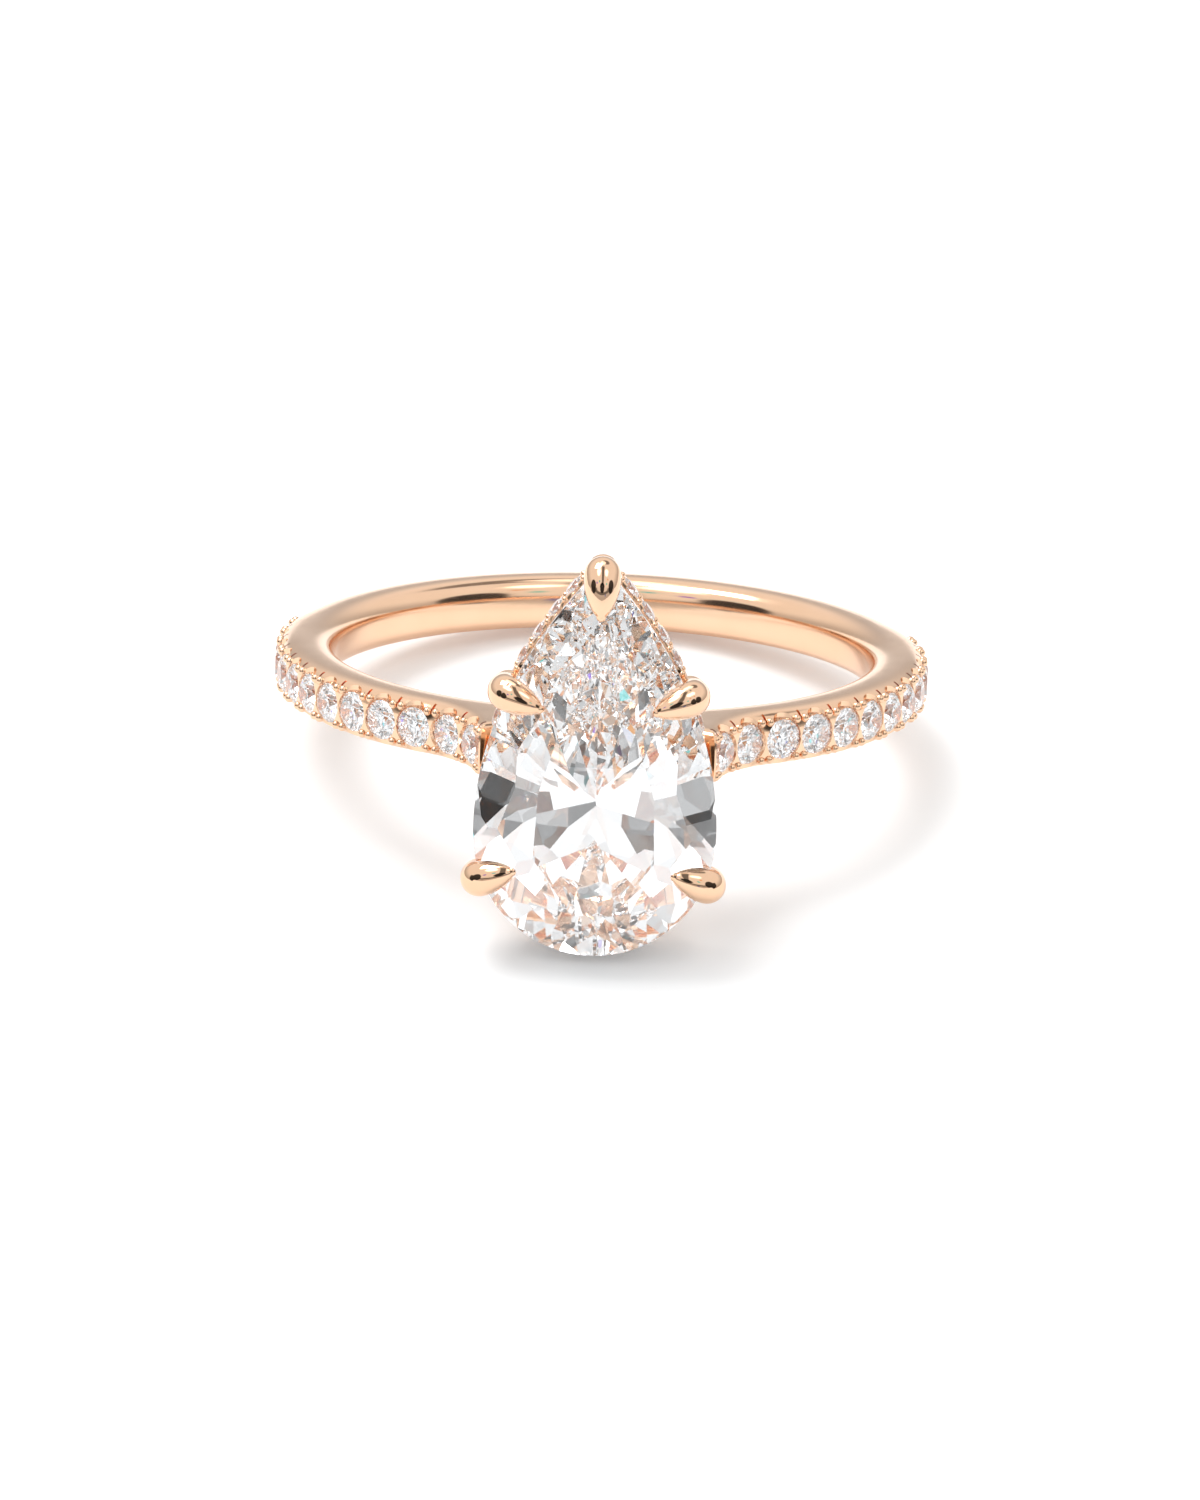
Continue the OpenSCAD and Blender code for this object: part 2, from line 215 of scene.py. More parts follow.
def revolve(profile, segs):
    """Closed solid from (r, z) points, the first and last on the axis."""
    verts, faces = [(0, 0, profile[0][1])], []
    inner = profile[1:-1]
    for r, z in inner:
        for k in range(segs):
            a = 2 * math.pi * k / segs
            verts.append((r * math.cos(a), r * math.sin(a), z))
    verts.append((0, 0, profile[-1][1]))
    last = len(verts) - 1
    for k in range(segs):
        j = (k + 1) % segs
        faces.append((0, 1 + j, 1 + k))
        for i in range(len(inner) - 1):
            a, b = 1 + i * segs, 1 + (i + 1) * segs
            faces.append((a + k, a + j, b + j, b + k))
        a = 1 + (len(inner) - 1) * segs
        faces.append((a + k, a + j, last))
    return verts, faces


def ball(r, segs=20, rings=10, squash=1.0):
    prof = [(0, -r * squash)]
    prof += [
        (r * math.sin(math.pi * i / rings), -r * squash * math.cos(math.pi * i / rings))
        for i in range(1, rings)
    ]
    prof.append((0, r * squash))
    return revolve(prof, segs)


def block(x, y, z):
    v = [(sx * x, sy * y, sz * z) for sx in (-1, 1) for sy in (-1, 1) for sz in (-1, 1)]
    f = [(0, 1, 3, 2), (4, 6, 7, 5), (0, 4, 5, 1), (2, 3, 7, 6), (0, 2, 6, 4), (1, 5, 7, 3)]
    return v, f


def rod_y(r, half, segs=40):
    verts, faces = [], []
    for y in (-half, half):
        for k in range(segs):
            a = 2 * math.pi * k / segs
            verts.append((r * math.cos(a), y, r * math.sin(a)))
    for k in range(segs):
        j = (k + 1) % segs
        faces.append((k, j, segs + j, segs + k))
    faces.append(tuple(range(segs)))
    faces.append(tuple(range(2 * segs - 1, segs - 1, -1)))
    return verts, faces


def many(name, items):
    """One mesh object from [(matrix, (verts, faces)), ...]."""
    verts, faces = [], []
    for m, (v, f) in items:
        base = len(verts)
        verts += [m @ Vector(p) for p in v]
        faces += [tuple(base + i for i in face) for face in f]
    return mesh_object(name, verts, faces)


def boolean(ob, tool, how):
    for solver in ("MANIFOLD", "EXACT"):
        mod = ob.modifiers.new("cut", "BOOLEAN")
        mod.operation, mod.object, mod.solver = how, tool, solver
        dg = bpy.context.evaluated_depsgraph_get()
        me = bpy.data.meshes.new_from_object(ob.evaluated_get(dg))
        ob.modifiers.clear()
        if len(me.polygons) > 0:
            break
    old = ob.data
    ob.data = me
    bpy.data.meshes.remove(old)
    return ob


def drop(ob):
    bpy.data.objects.remove(ob)


def ring_sweep(name, sections):
    """Closed sweep through a closed list of sections (each a list of points)."""
    n, m = len(sections), len(sections[0])
    verts = [p for s in sections for p in s]
    faces = []
    for i in range(n):
        a, b = i * m, ((i + 1) % n) * m
        for k in range(m):
            j = (k + 1) % m
            faces.append((a + k, a + j, b + j, b + k))
    return mesh_object(name, verts, faces)


def finish_mesh(ob, name, angle, smooth=True):
    """Into the row frame, in metres, with smooth or crisp edges."""
    ob.name = name
    ob.data.name = name
    bm = bmesh.new()
    bm.from_mesh(ob.data)
    bmesh.ops.remove_doubles(bm, verts=bm.verts, dist=0.0004)
    bmesh.ops.dissolve_degenerate(bm, edges=bm.edges, dist=0.0004)
    bmesh.ops.recalc_face_normals(bm, faces=bm.faces)
    bm.to_mesh(ob.data)
    bm.free()
    ob.data.transform(TO_ROW)
    ob.data.polygons.foreach_set("use_smooth", [smooth] * len(ob.data.polygons))
    if smooth:
        ob.data.set_sharp_from_angle(angle=math.radians(angle))
    ob.data.update()
    return ob


# ---------------------------------------------------------------------------
# Materials
# ---------------------------------------------------------------------------
def rose_gold(name, rough=0.07, scratch=0.35):
    mat = bpy.data.materials.new(name)
    mat.use_nodes = True
    nt = mat.node_tree
    bsdf = nt.nodes["Principled BSDF"]
    bsdf.inputs["Metallic"].default_value = 1.0
    coord = nt.nodes.new("ShaderNodeTexCoord")
    # colour of the alloy, very slightly uneven
    noise = nt.nodes.new("ShaderNodeTexNoise")
    noise.inputs["Scale"].default_value = 420.0
    noise.inputs["Detail"].default_value = 3.0
    ramp = nt.nodes.new("ShaderNodeValToRGB")
    ramp.color_ramp.elements[0].position, ramp.color_ramp.elements[1].position = 0.35, 0.65
    ramp.color_ramp.elements[0].color = (0.880, 0.580, 0.385, 1)
    ramp.color_ramp.elements[1].color = (0.905, 0.606, 0.412, 1)
    nt.links.new(coord.outputs["Object"], noise.inputs["Vector"])
    nt.links.new(noise.outputs["Fac"], ramp.inputs["Fac"])
    nt.links.new(ramp.outputs["Color"], bsdf.inputs["Base Color"])
    # polishing haze
    haze = nt.nodes.new("ShaderNodeTexNoise")
    haze.inputs["Scale"].default_value = 1500.0
    haze.inputs["Detail"].default_value = 4.0
    span = nt.nodes.new("ShaderNodeMapRange")
    span.inputs["To Min"].default_value = rough * 0.7
    span.inputs["To Max"].default_value = rough * 1.5
    nt.links.new(coord.outputs["Object"], haze.inputs["Vector"])
    nt.links.new(haze.outputs["Fac"], span.inputs["Value"])
    nt.links.new(span.outputs["Result"], bsdf.inputs["Roughness"])
    # hairline polishing marks
    stretch = nt.nodes.new("ShaderNodeMapping")
    stretch.inputs["Scale"].default_value = (900.0, 900.0, 9000.0)
    lines = nt.nodes.new("ShaderNodeTexNoise")
    lines.inputs["Scale"].default_value = 1.0
    lines.inputs["Detail"].default_value = 5.0
    bump = nt.nodes.new("ShaderNodeBump")
    bump.inputs["Strength"].default_value = 0.03 * scratch
    bump.inputs["Distance"].default_value = 0.00002
    nt.links.new(coord.outputs["Object"], stretch.inputs["Vector"])
    nt.links.new(stretch.outputs["Vector"], lines.inputs["Vector"])
    nt.links.new(lines.outputs["Fac"], bump.inputs["Height"])
    nt.links.new(bump.outputs["Normal"], bsdf.inputs["Normal"])
    return mat


def diamond(name, low, high):
    mat = bpy.data.materials.new(name)
    mat.use_nodes = True
    nt = mat.node_tree
    bsdf = nt.nodes["Principled BSDF"]
    bsdf.inputs["Transmission Weight"].default_value = 1.0
    bsdf.inputs["Roughness"].default_value = 0.0
    bsdf.inputs["IOR"].default_value = 2.417
    coord = nt.nodes.new("ShaderNodeTexCoord")
    noise = nt.nodes.new("ShaderNodeTexNoise")
    noise.inputs["Scale"].default_value = 260.0
    mix = nt.nodes.new("ShaderNodeValToRGB")
    mix.color_ramp.elements[0].color = (*low, 1)
    mix.color_ramp.elements[1].color = (*high, 1)
    nt.links.new(coord.outputs["Object"], noise.inputs["Vector"])
    nt.links.new(noise.outputs["Fac"], mix.inputs["Fac"])
    nt.links.new(mix.outputs["Color"], bsdf.inputs["Base Color"])
    return mat


GOLD_BAND = rose_gold("rose_gold_band", 0.125, 1.0)
GOLD_HEAD = rose_gold("rose_gold_head", 0.05, 0.4)
ICE = diamond("diamond_centre", (0.950, 0.972, 0.990), (0.970, 0.988, 1.0))
MELEE = diamond("diamond_melee", (0.90, 0.94, 0.97), (0.94, 0.97, 1.0))


def dress(ob, mat):
    ob.data.materials.clear()
    ob.data.materials.append(mat)


def place(ob, mat, slot, *stands_for):
    dress(ob, mat)
    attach(ob, "root")
    if stands_for:
        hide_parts(*stands_for)


# ---------------------------------------------------------------------------
# Centre stone: a pear brilliant cut as the meeting of flat facets
# ---------------------------------------------------------------------------
# The cutter's own small unevenness: the two halves aren't exact mirror images.
CUT_R = [0.10, 0.30, 0.50, 0.69, 0.86]
CUT_L = [0.115, 0.315, 0.485, 0.675, 0.87]
PAV_MAIN, PAV_HALF = 39.6, 42.2
CR_MAIN, CR_HALF, CR_STAR = 34.0, 40.5, 21.0


def facet(u, hand, tilt, z, up, inset=0.0):
    """A flat cut along the outline at u, leaning inwards by tilt from level."""
    p, n = pear_pt(u), pear_n(u)
    t = math.radians(tilt)
    co = Vector((hand * (p[0] - n[0] * inset), p[1] - n[1] * inset, z))
    return (co, Vector((hand * n[0] * math.sin(t), n[1] * math.sin(t), up * math.cos(t))))


def stone_planes():
    planes = []
    run = CROWN / math.tan(math.radians(CR_MAIN))
    for hand, us in ((1, CUT_R), (-1, CUT_L)):
        for i, u in enumerate(us):
            planes.append(facet(u, hand, PAV_MAIN + (0.5, -0.9, 0.9, -0.8, 0.7)[i], GZ, -1))
            planes.append(facet(u, hand, CR_MAIN, GT, 1))
        stops = [0.0] + us + [1.0]
        for i in range(len(stops) - 1):
            a, b = stops[i], stops[i + 1]
            if i == 0:
                spots = (0.03, 0.07)
            elif i == len(stops) - 2:
                spots = (a + 0.3 * (b - a), a + 0.72 * (b - a))
            else:
                spots = (a + 0.26 * (b - a), a + 0.74 * (b - a))
            for k, u in enumerate(spots):
                planes.append(facet(u, hand, PAV_HALF + (1.3 if k == i % 2 else 0.0), GZ, -1))
                planes.append(facet(u, hand, CR_HALF, GT, 1))
            if i > 0:
                planes.append(facet((a + b) / 2 + 0.012, hand, PAV_MAIN + (1.7 if i % 2 else 0.4), GZ, -1))
            if 0 < i < len(stops) - 2:
                planes.append(facet((a + b) / 2, hand, CR_STAR, TZ, 1, run + 0.36))
    # the mains at the round end and at the tip, a hair off the middle line
    for up, z, tilt in ((-1, GZ, PAV_MAIN + 0.2), (1, GT, CR_MAIN)):
        t = math.radians(tilt)
        planes.append((Vector((0, BY - BELLY, z)), Vector((0.012, -math.sin(t), up * math.cos(t))).normalized()))
    t = math.radians(CR_MAIN)
    planes.append((Vector((0, BY + WING - 0.1, GT)), Vector((0.01, math.sin(t), math.cos(t))).normalized()))
    planes.append((Vector((0, BY, CZ - 0.1)), Vector((0, 0, -1))))
    return planes


def cut_stone(grow=0.0, n=48):
    bm = bmesh.new()
    ring = outline(n, grow)
    lo = [bm.verts.new((x, y, CZ - 0.6)) for x, y in ring]
    hi = [bm.verts.new((x, y, TZ + grow)) for x, y in ring]
    bm.faces.new(list(reversed(lo)))
    bm.faces.new(hi)
    for i in range(len(ring)):
        j = (i + 1) % len(ring)
        bm.faces.new((lo[i], lo[j], hi[j], hi[i]))
    bmesh.ops.recalc_face_normals(bm, faces=bm.faces)
    for co, no in stone_planes():
        res = bmesh.ops.bisect_plane(
            bm, geom=bm.verts[:] + bm.edges[:] + bm.faces[:], dist=1e-5,
            plane_co=co + no * grow, plane_no=no, clear_outer=True)
        edges = [e for e in res["geom_cut"] if isinstance(e, bmesh.types.BMEdge)]
        if len(edges) > 2:
            bmesh.ops.edgeloop_fill(bm, edges=edges)
    bmesh.ops.remove_doubles(bm, verts=bm.verts, dist=1e-4)
    bmesh.ops.recalc_face_normals(bm, faces=bm.faces)
    me = bpy.data.meshes.new("stone")
    bm.to_mesh(me)
    bm.free()
    ob = bpy.data.objects.new("stone", me)
    bpy.context.scene.collection.objects.link(ob)
    return ob


stone = cut_stone()
print("centre stone faces", len(stone.data.polygons))
stone_tool = cut_stone(0.012)
finish_mesh(stone, "pear_stone", 0, smooth=False)
place(stone, ICE, "centre_stone", "centre_stone")


# ---------------------------------------------------------------------------
# Shank
# ---------------------------------------------------------------------------
def outer_radius(deg):
    """Outside of the shank, as a distance from the finger axis, by angle from the head."""
    t = math.radians(deg)
    if deg >= FA:
        return OR
    top_x = FX - FLR * math.sin(math.radians(FA + FS))
    low_z = FZ - FLR * math.cos(math.radians(FA + FS))
    if deg >= math.degrees(math.atan2(top_x, low_z)):
        # nearer crossing of this ray with the flare's circle
        dx, dz = math.sin(t), math.cos(t)
        b = dx * FX + dz * FZ
        c = FX * FX + FZ * FZ - FLR * FLR
        return b - math.sqrt(max(0.0, b * b - c))
    edge = math.degrees(math.atan2(top_x, low_z))
    if deg >= 13.6:
        return (FTOP - 0.55 * (edge - deg) / (edge - 13.6)) / math.cos(t)
    if deg >= 13.0:
        return OR + (deg - 13.0) / 0.6 * ((FTOP - 0.55) / math.cos(t) - OR)
    return OR


def section(deg, width=BW):
    """Cushion-shaped section: nearly flat inside, domed outside, boxier under the stones."""
    r1 = outer_radius(abs(deg))
    w = width / 2
    box = min(1.0, max(0.0, (112 - abs(deg)) / 12))
    pts = []
    k = 18
    for a in range(-k, k + 1):
        t = math.pi / 2 * a / k
        n = 2.45 + 1.0 * box
        pts.append((r1 - w + w * max(0.0, math.cos(t)) ** (2 / n), w * math.copysign(abs(math.sin(t)) ** (2 / n), t)))
    for a in range(-k, k + 1):
        t = math.pi / 2 * a / k
        n = 2.9
        pts.append((FR + w - w * max(0.0, math.cos(t)) ** (2 / n), -w * math.copysign(abs(math.sin(t)) ** (2 / n), t)))
    s, c = math.sin(math.radians(deg)), math.cos(math.radians(deg))
    return [(r * s, y, r * c) for r, y in pts]


degs = []
d = -180.0
while d < 180.0 - 1e-6:
    degs.append(d)
    d += 0.3 if 12.5 < abs(d) < 36 else 0.9
    d = round(d, 6)
shank = ring_sweep("shank_metal", [section(a) for a in degs])

SR = SD / 2 + 0.012
OPEN = [(0, -0.56 * SD), (0.05, -0.55 * SD), (SR, -0.06 * SD), (SR, 0.5), (0, 0.5)]
FITTED = [(0, -0.56 * SD), (0.05, -0.55 * SD), (SR, -0.06 * SD), (SR, 0.005), (SR * 0.58, 0.16 * SD + 0.02), (0, 0.16 * SD + 0.02)]
for par in (0, 1):
    tool = many("t", [(on_band(stone_s(i), h, SINK), revolve(OPEN, 48))
                      for h in (-1, 1) for i in range(SN) if i % 2 == par])
    boolean(shank, tool, "DIFFERENCE")
    drop(tool)
    tool = many("t", [(on_band(stone_s(i), h, -0.17), rod_y(0.45, 1.2))
                      for h in (-1, 1) for i in range(SN) if i % 2 == par])
    boolean(shank, tool, "DIFFERENCE")
    drop(tool)
# slits between the beads, at both edges
tool = many("t", [(on_band(stone_s(i - 0.5), h, 0.0) @ Matrix.Translation((0, y * 0.76, -0.04)), block(0.04, 0.24, 0.26))
                  for h in (-1, 1) for i in range(SN + 1) for y in (-1, 1)])
boolean(shank, tool, "DIFFERENCE")
drop(tool)
for t in (-1, 1):
    tool = many("t", [(on_band(stone_s(i - 0.5), h, 0.0) @ Matrix.Translation((t * 0.155, y * 0.575, -0.085)), ball(0.135, 20, 12, 1.12))
                      for h in (-1, 1) for i in range(SN + 1) for y in (-1, 1)])
    boolean(shank, tool, "UNION")
    drop(tool)
for par in (0, 1):
    tool = many("t", [(on_band(stone_s(i), h, SINK), revolve(FITTED, 48))
                      for h in (-1, 1) for i in range(SN) if i % 2 == par])
    boolean(shank, tool, "DIFFERENCE")
    drop(tool)
# room for the hidden row's rail and the stone
ring = outline(72, ROUT + 0.01, 1.0)
v = [(x, y, RLOW - 0.01) for x, y in ring] + [(x, y, RLOW + 3) for x, y in ring]
n = len(ring)
tool = mesh_object("t", v, [tuple(range(n - 1, -1, -1)), tuple(range(n, 2 * n))]
                   + [(i, (i + 1) % n, n + (i + 1) % n, n + i) for i in range(n)])
boolean(shank, tool, "DIFFERENCE")
drop(tool)
boolean(shank, stone_tool, "DIFFERENCE")
finish_mesh(shank, "shank_metal", 32)
place(shank, GOLD_BAND, "band_metal", "shank")


# ---------------------------------------------------------------------------
# Claws: round wire drawn over the girdle to a point
# ---------------------------------------------------------------------------
CLAW_AT = [0.0, CLAW_LEN[1], len_at_y(BY - BELLY * math.sin(math.radians(22.3)))]
CLAW_DIR = [(0.0, 1.0), (math.cos(math.radians(18)), math.sin(math.radians(18))), pear_n(u_at(CLAW_AT[2]))]


def claw_xy(k, d):
    p = (0.0, BY + WING) if k == 0 else pear_pt(u_at(CLAW_AT[k]))
    return (p[0] + d * CLAW_DIR[k][0], p[1] + d * CLAW_DIR[k][1])


def catmull(p, per):
    out = []
    n = len(p)
    for i in range(n - 1):
        a, b, c, e = p[max(i - 1, 0)], p[i], p[i + 1], p[min(i + 2, n - 1)]
        for s in range(per):
            t = s / per
            out.append([0.5 * (2 * b[j] + (c[j] - a[j]) * t + (2 * a[j] - 5 * b[j] + 4 * c[j] - e[j]) * t * t
                               + (-a[j] + 3 * b[j] - 3 * c[j] + e[j]) * t ** 3) for j in range(4)])
    out.append(list(p[-1]))
    return out


def claw_stations(k):
    q = claw_xy(k, 0)
    f = (q[0] * KX, q[1] * KY)
    m = math.hypot(*f)
    f = (f[0] * (1 - 0.28 / m), f[1] * (1 - 0.28 / m))
    r = 0.54
    if k == 0:
        path = [(-0.56, GZ - 0.75, r * 0.80), (-0.39, GZ - 0.25, r * 0.95), (-0.29, GT + 0.04, r * 1.02), (-0.45, GT + 0.25, r * 1.01),
                (-0.72, GT + 0.38, r * 0.95), (-1.02, GT + 0.50, r * 0.76), (-1.28, GT + 0.60, r * 0.5), (-1.42, GT + 0.65, r * 0.28)]
    else:
        path = [(-0.2, GZ - 0.75, r * 0.80), (0.08, GZ - 0.2, r * 0.92), (0.08, GT + 0.1, r * 0.98), (-0.10, GT + 0.28, r * 0.96),
                (-0.34, GT + 0.41, r * 0.88), (-0.64, GT + 0.54, r * 0.68), (-0.88, GT + 0.63, r * 0.44), (-1.0, GT + 0.67, r * 0.26)]
    st = [(f[0], f[1], BASE_TOP + 0.01, 0.38)]
    for d, z, rr in path:
        c = claw_xy(k, d)
        st.append((c[0], c[1], z, rr))
    return catmull(st, 9)


def claw_mesh(name, k, hand, grow=0.0):
    st = claw_stations(k)
    side = Vector((1, 0, 0)) if k == 0 else Vector((-CLAW_DIR[k][1], CLAW_DIR[k][0], 0))
    verts, faces, segs = [], [], 28
    for i, (x, y, z, r) in enumerate(st):
        a, b = st[max(i - 1, 0)], st[min(i + 1, len(st) - 1)]
        along = Vector((b[0] - a[0], b[1] - a[1], b[2] - a[2])).normalized()
        if i == 0:
            along = Vector((0, 0, 1))
        up = along.cross(side).normalized()
        for j in range(segs):
            t = 2 * math.pi * j / segs
            p = Vector((x, y, z)) + (side * math.cos(t) + up * math.sin(t)) * (r + grow)
            verts.append(Vector((hand * p.x, p.y, p.z)))
    n = len(st)
    end, r_end = Vector(st[-1][:3]), st[-1][3] + grow
    for cap in (20, 40, 60, 78):
        c = math.radians(cap)
        for j in range(segs):
            t = 2 * math.pi * j / segs
            p = end + along * r_end * math.sin(c) + (side * math.cos(t) + up * math.sin(t)) * r_end * math.cos(c)
            verts.append(Vector((hand * p.x, p.y, p.z)))
    n += 4
    for i in range(n - 1):
        for j in range(segs):
            q = (j + 1) % segs
            faces.append((i * segs + j, i * segs + q, (i + 1) * segs + q, (i + 1) * segs + j))
    faces.append(tuple(range(segs)))
    tip = end + along * r_end
    verts.append(Vector((hand * tip.x, tip.y, tip.z)))
    for j in range(segs):
        faces.append(((n - 1) * segs + j, (n - 1) * segs + (j + 1) % segs, len(verts) - 1))
    return mesh_object(name, verts, faces)


CLAWS = [("tip", 0, 1), ("upper_left", 1, -1), ("upper_right", 1, 1), ("lower_left", 2, -1), ("lower_right", 2, 1)]
for label, k, hand in CLAWS:
    ob = claw_mesh("c", k, hand)
    boolean(ob, stone_tool, "DIFFERENCE")
    finish_mesh(ob, "claw_metal_" + label, 40)
    place(ob, GOLD_HEAD, "head_metal", "claw_" + label)


# ---------------------------------------------------------------------------
# Rails
# ---------------------------------------------------------------------------
def rail_mesh(name, n, out, inside, low, top, kx=1.0, ky=1.0, r=0.09, drift=0.0):
    outer, inner = outline(n, out, drift), outline(n, -inside)
    m = min(len(outer), len(inner))
    # walk both outlines by share of their length so the sections match
    def even(pts, count):
        acc = [0.0]
        for i in range(len(pts)):
            a, b = pts[i], pts[(i + 1) % len(pts)]
            acc.append(acc[-1] + math.hypot(a[0] - b[0], a[1] - b[1]))
        res, i = [], 0
        for c in range(count):
            t = acc[-1] * c / count
            while acc[i + 1] < t:
                i += 1
            f = (t - acc[i]) / (acc[i + 1] - acc[i])
            a, b = pts[i], pts[(i + 1) % len(pts)]
            res.append((a[0] + (b[0] - a[0]) * f, a[1] + (b[1] - a[1]) * f))
        return res
    count = 2 * n
    oo, ii = even(outer, count), even(inner, count)
    secs = []
    for (x1, y1), (x0, y0) in zip(oo, ii):
        length = math.hypot(x1 - x0, y1 - y0)
        rr = r / length
        s = []
        for cx, cz, a0 in ((1 - rr, top - r, 0), (rr, top - r, 90), (rr, low + r, 180), (1 - rr, low + r, 270)):
            for a in range(0, 91, 30):
                t = math.radians(a0 + a)
                w, z = cx + rr * math.cos(t), cz + r * math.sin(t)
                s.append(((x0 + (x1 - x0) * w) * kx, (y0 + (y1 - y0) * w) * ky, z))
        secs.append(s)
    return ring_sweep(name, secs)


rail = rail_mesh("r", 110, ROUT, RIN, RLOW, RTOP - 0.13, r=0.07, drift=1.0)
HR = HD / 2 + 0.01
hopen = [(0, -0.56 * HD), (0.04, -0.55 * HD), (HR, -0.06 * HD), (HR, 0.4), (0, 0.4)]
hfit = [(0, -0.56 * HD), (0.04, -0.55 * HD), (HR, -0.06 * HD), (HR, 0.004), (HR * 0.58, 0.16 * HD + 0.02), (0, 0.16 * HD + 0.02)]
tool = many("t", [(on_rail(s, h, HSINK), revolve(hopen, 32)) for h in (-1, 1) for s in HALO_AT])
boolean(rail, tool, "DIFFERENCE")
drop(tool)
marks = []
for a, b, c in ROWS:
    marks += [a + (b - a) * i / c for i in range(c + 1)]
for t in (-1, 1):
    items = []
    for h in (-1, 1):
        for s in marks:
            if h < 0 and s > LENS[STEPS] - 0.01:
                continue
            items.append((on_rail(s, h, 0.02) @ Matrix.Translation((t * 0.3, 0, -0.03)), ball(0.105, 16, 8, 1.1)))
    tool = many("t", items)
    boolean(rail, tool, "UNION")
    drop(tool)
tool = many("t", [(on_rail(s, h, HSINK), revolve(hfit, 32)) for h in (-1, 1) for s in HALO_AT])
boolean(rail, tool, "DIFFERENCE")
drop(tool)
for label, k, hand in CLAWS:
    tool = claw_mesh("t", k, hand, 0.008)
    boolean(rail, tool, "DIFFERENCE")
    drop(tool)
finish_mesh(rail, "hidden_row_rail", 32)
place(rail, GOLD_HEAD, "head_metal", "halo_rail")

base = rail_mesh("r", 60, 0.0, BASE_T / KY, BASE_Z, BASE_TOP, KX, KY, 0.12)
tool = many("t", [(Matrix.Identity(4), rod_y(OR + 0.01, BW / 2 + 0.01, 240))])
boolean(base, tool, "DIFFERENCE")
drop(tool)
boolean(base, stone_tool, "DIFFERENCE")
finish_mesh(base, "base_rail_metal", 32)
place(base, GOLD_HEAD, "head_metal", "base_rail")
drop(stone_tool)

# the small stones keep their CAD shape: flat facets in a diamond material
for name, ob in nodes.items():
    if name.startswith(("shoulder_stone", "halo_stone")):
        dress(ob, MELEE)

# ---------------------------------------------------------------------------
# Floor, light and camera
# ---------------------------------------------------------------------------
TENT_LOW = 0.55
floor_z = min(cad_box[0].z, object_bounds()[0].z)
bm = bmesh.new()
bmesh.ops.create_grid(bm, x_segments=1, y_segments=1, size=0.25)
me = bpy.data.meshes.new("floor")
bm.to_mesh(me)
bm.free()
floor = bpy.data.objects.new("floor", me)
floor.location = (0, 0, floor_z - 0.00001)
bpy.context.scene.collection.objects.link(floor)
fmat = bpy.data.materials.new("paper")
fmat.use_nodes = True
fb = fmat.node_tree.nodes["Principled BSDF"]
fb.inputs["Base Color"].default_value = (0.84, 0.845, 0.85, 1)
fb.inputs["Emission Color"].default_value = (0.98, 0.99, 1.0, 1)
fb.inputs["Emission Strength"].default_value = 0.20
fb.inputs["Roughness"].default_value = 0.9
dress(floor, fmat)

# A white tent with a few dark gaps: one behind the camera, one overhead, and
# narrow ones at the sides. Directions are in the row frame.
world = bpy.data.worlds.new("studio")
bpy.context.scene.world = world
world.use_nodes = True
wn = world.node_tree
bg = wn.nodes["Background"]
bg.inputs["Strength"].default_value = 1.0
way = wn.nodes.new("ShaderNodeTexCoord")


def wmath(op, a, b=None, clamp=False):
    node = wn.nodes.new("ShaderNodeMath")
    node.operation = op
    node.use_clamp = clamp
    for i, v in enumerate((a, b)):
        if v is None:
            continue
        if isinstance(v, (int, float)):
            node.inputs[i].default_value = v
        else:
            wn.links.new(v, node.inputs[i])
    return node.outputs[0]


def wdot(v):
    node = wn.nodes.new("ShaderNodeVectorMath")
    node.operation = "DOT_PRODUCT"
    wn.links.new(way.outputs["Generated"], node.inputs[0])
    node.inputs[1].default_value = Vector(v).normalized()
    return node.outputs["Value"]


def ease(value, lo, hi, a=0.0, b=1.0):
    node = wn.nodes.new("ShaderNodeMapRange")
    node.interpolation_type = "SMOOTHSTEP"
    wn.links.new(value, node.inputs["Value"])
    node.inputs["From Min"].default_value = lo
    node.inputs["From Max"].default_value = hi
    node.inputs["To Min"].default_value = a
    node.inputs["To Max"].default_value = b
    return node.outputs["Result"]


def disc(v, half, soft):
    return ease(wdot(v), math.cos(math.radians(half + soft)), math.cos(math.radians(half)))


def slot_between(v, at, half, soft):
    """1 in the band of directions whose component along v is within half of at."""
    off = wmath("ABSOLUTE", wmath("SUBTRACT", wdot(v), at))
    return ease(off, half, half + soft, 1.0, 0.0)


def azel(az, el):
    a, e = math.radians(az), math.radians(el)
    return (math.sin(a) * math.cos(e), -math.cos(a) * math.cos(e), math.sin(e))


tent = ease(wdot((0, 0, 1)), 0.0, 0.45, TENT_LOW, 1.0)
DARK = [
    (disc(azel(0, 27), 13.0, 3.0), 0.96),
    (wmath("MULTIPLY", slot_between((1, 0, 0), 0.04, 0.10, 0.03), ease(wdot(azel(0, 66)), 0.80, 0.88)), 0.80),
    (disc(azel(62, 16), 16.0, 3.0), 0.94),
    (disc(azel(-62, 16), 16.0, 3.0), 0.94),
    (disc(azel(160, 52), 11.0, 5.0), 0.74),
    (wmath("MULTIPLY", slot_between((0, 0, 1), 0.20, 0.05, 0.03), ease(wdot(azel(0, 12)), 0.55, 0.75)), 0.75),
]
for mask, depth in DARK:
    tent = wmath("MULTIPLY", tent, wmath("SUBTRACT", 1.0, wmath("MULTIPLY", mask, depth)))
BOXES = [(disc(azel(-60, 66), 8, 5), 1.7), (disc(azel(58, 64), 7, 5), 1.5), (disc(azel(178, 60), 8, 5), 1.4)]
for mask, power in BOXES:
    tent = wmath("ADD", tent, wmath("MULTIPLY", mask, power))
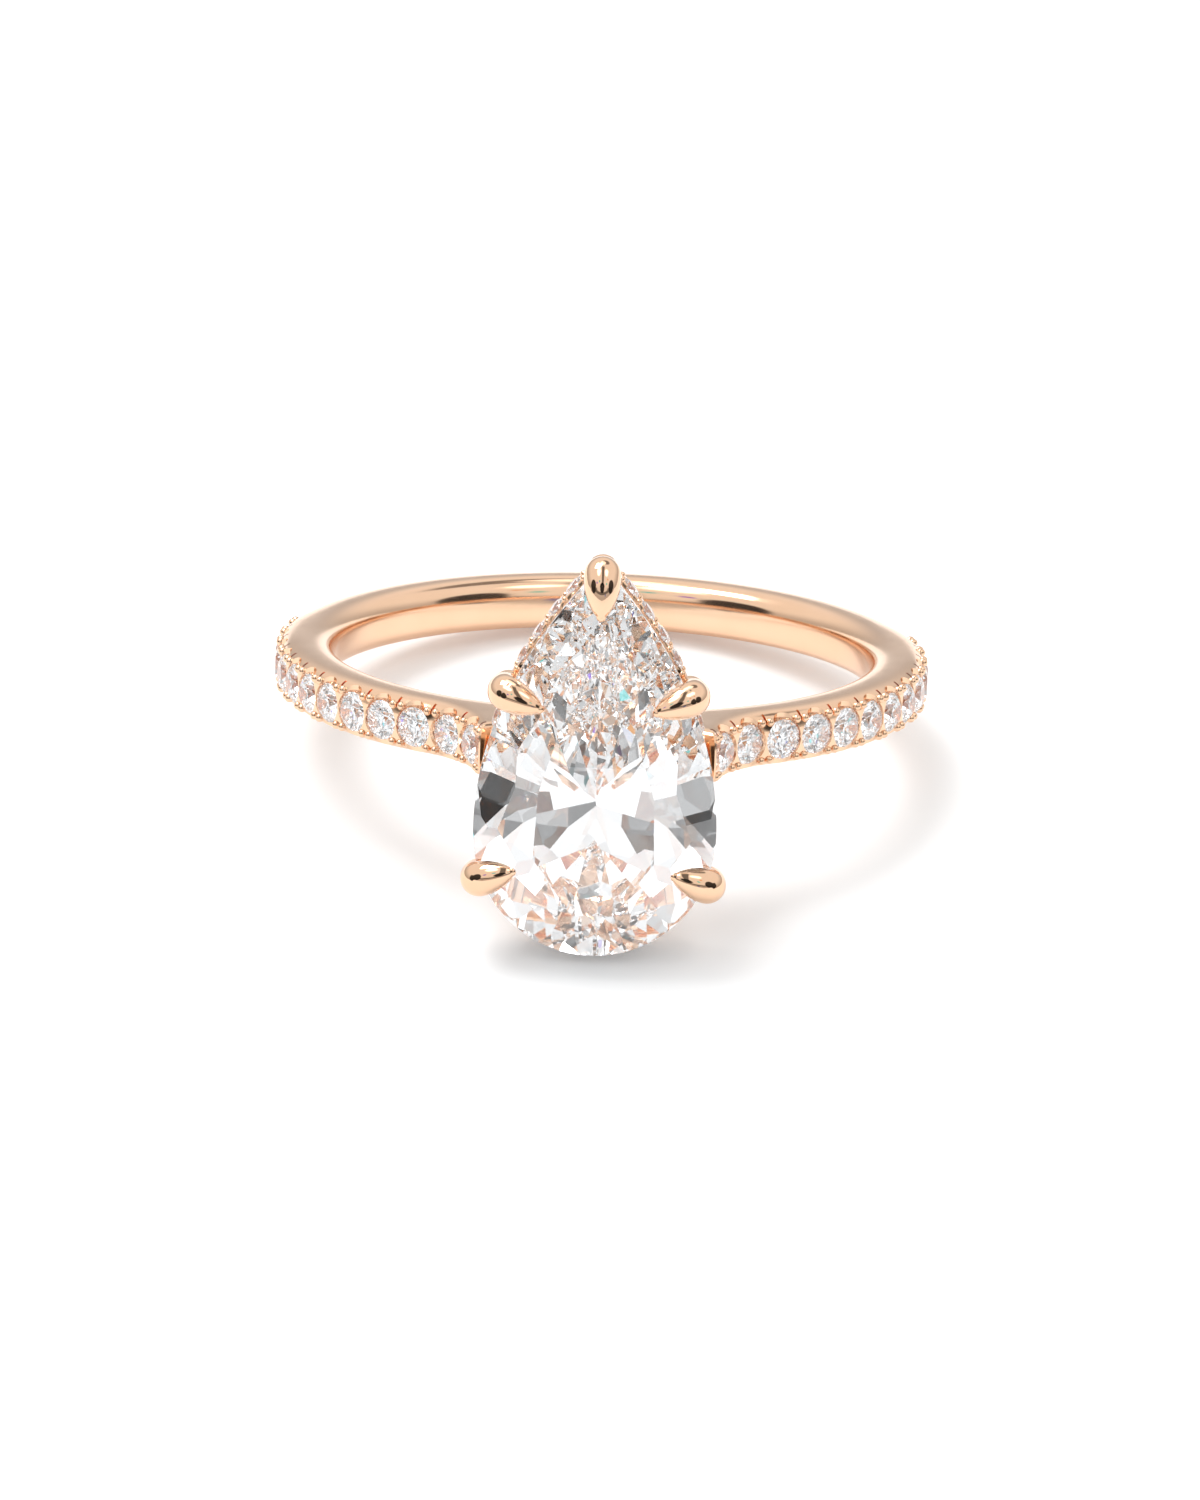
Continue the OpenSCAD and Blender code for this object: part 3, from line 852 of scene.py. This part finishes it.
tone = wn.nodes.new("ShaderNodeCombineColor")
# small tinted gaps, which the stones break up into flecks of fire
TINTS = [(disc(azel(-24, 44), 3.0, 1.0), (0.05, 0.75, 0.85)), (disc(azel(33, 33), 3.0, 1.0), (0.10, 0.80, 0.80)),
         (disc(azel(-42, 34), 3.0, 1.0), (0.30, 0.10, 0.95)), (disc(azel(22, 6), 2.5, 1.0), (0.20, 0.30, 0.95)),
         (disc(azel(48, 44), 2.5, 1.0), (0.95, 0.45, 0.15))]
for k in range(3):
    level = tent
    for mask, tint in TINTS:
        level = wmath("MULTIPLY", level, wmath("SUBTRACT", 1.0, wmath("MULTIPLY", mask, 1.0 - tint[k])))
    wn.links.new(level, tone.inputs[k])
path = wn.nodes.new("ShaderNodeLightPath")
show = wn.nodes.new("ShaderNodeMix")
show.data_type = "RGBA"
wn.links.new(path.outputs["Is Camera Ray"], show.inputs[0])
wn.links.new(tone.outputs["Color"], show.inputs[6])
show.inputs[7].default_value = (1, 1, 1, 1)
wn.links.new(show.outputs[2], bg.inputs["Color"])


def area(name, loc, size, power, target=(0, -0.004, 0)):
    light = bpy.data.lights.new(name, "AREA")
    light.shape = "RECTANGLE"
    light.size, light.size_y = size
    light.energy = power
    ob = bpy.data.objects.new(name, light)
    ob.location = loc
    ob.rotation_mode = "QUATERNION"
    ob.rotation_quaternion = (Vector(target) - Vector(loc)).to_track_quat("-Z", "Y")
    bpy.context.scene.collection.objects.link(ob)
    return ob


area("key", (-0.15, 0.10, 0.38), (0.20, 0.20), 0.85)

# camera: upright pose (X right, Y away, Z along the finger axis), then leaned back
AZ, EL, ROLL = math.radians(0.22), math.radians(14.26), math.radians(-1.81)
TX, TY, SCALE, DIST = 0.046, -2.516, 32.50, 300.0
ca, sa, ce, se = math.cos(AZ), math.sin(AZ), math.cos(EL), math.sin(EL)
fwd = Vector((-sa * ce, ca * ce, -se))
right = Vector((ca, sa, 0.0))
down = fwd.cross(right)
cr, sr = math.cos(ROLL), math.sin(ROLL)
r2, d2 = cr * right + sr * down, -sr * right + cr * down
centre = -(r2 * TX + d2 * TY + fwd * DIST)
tilt = Matrix.Rotation(-LEAN, 4, "X")
basis = Matrix((r2, -d2, -fwd)).transposed().to_4x4()
cam = bpy.data.cameras.new("camera")
cam.lens = SCALE * DIST / 1500.0 * 36.0
cam.sensor_width = 36.0
cam.clip_start, cam.clip_end = 0.01, 10.0
cam_ob = bpy.data.objects.new("camera", cam)
cam_ob.matrix_world = tilt @ Matrix.Translation(centre * 0.001) @ basis
bpy.context.scene.collection.objects.link(cam_ob)
bpy.context.scene.camera = cam_ob

scene = bpy.context.scene
scene.view_settings.view_transform = "Standard"
scene.cycles.max_bounces = 64
scene.cycles.transmission_bounces = 64
scene.cycles.glossy_bounces = 64
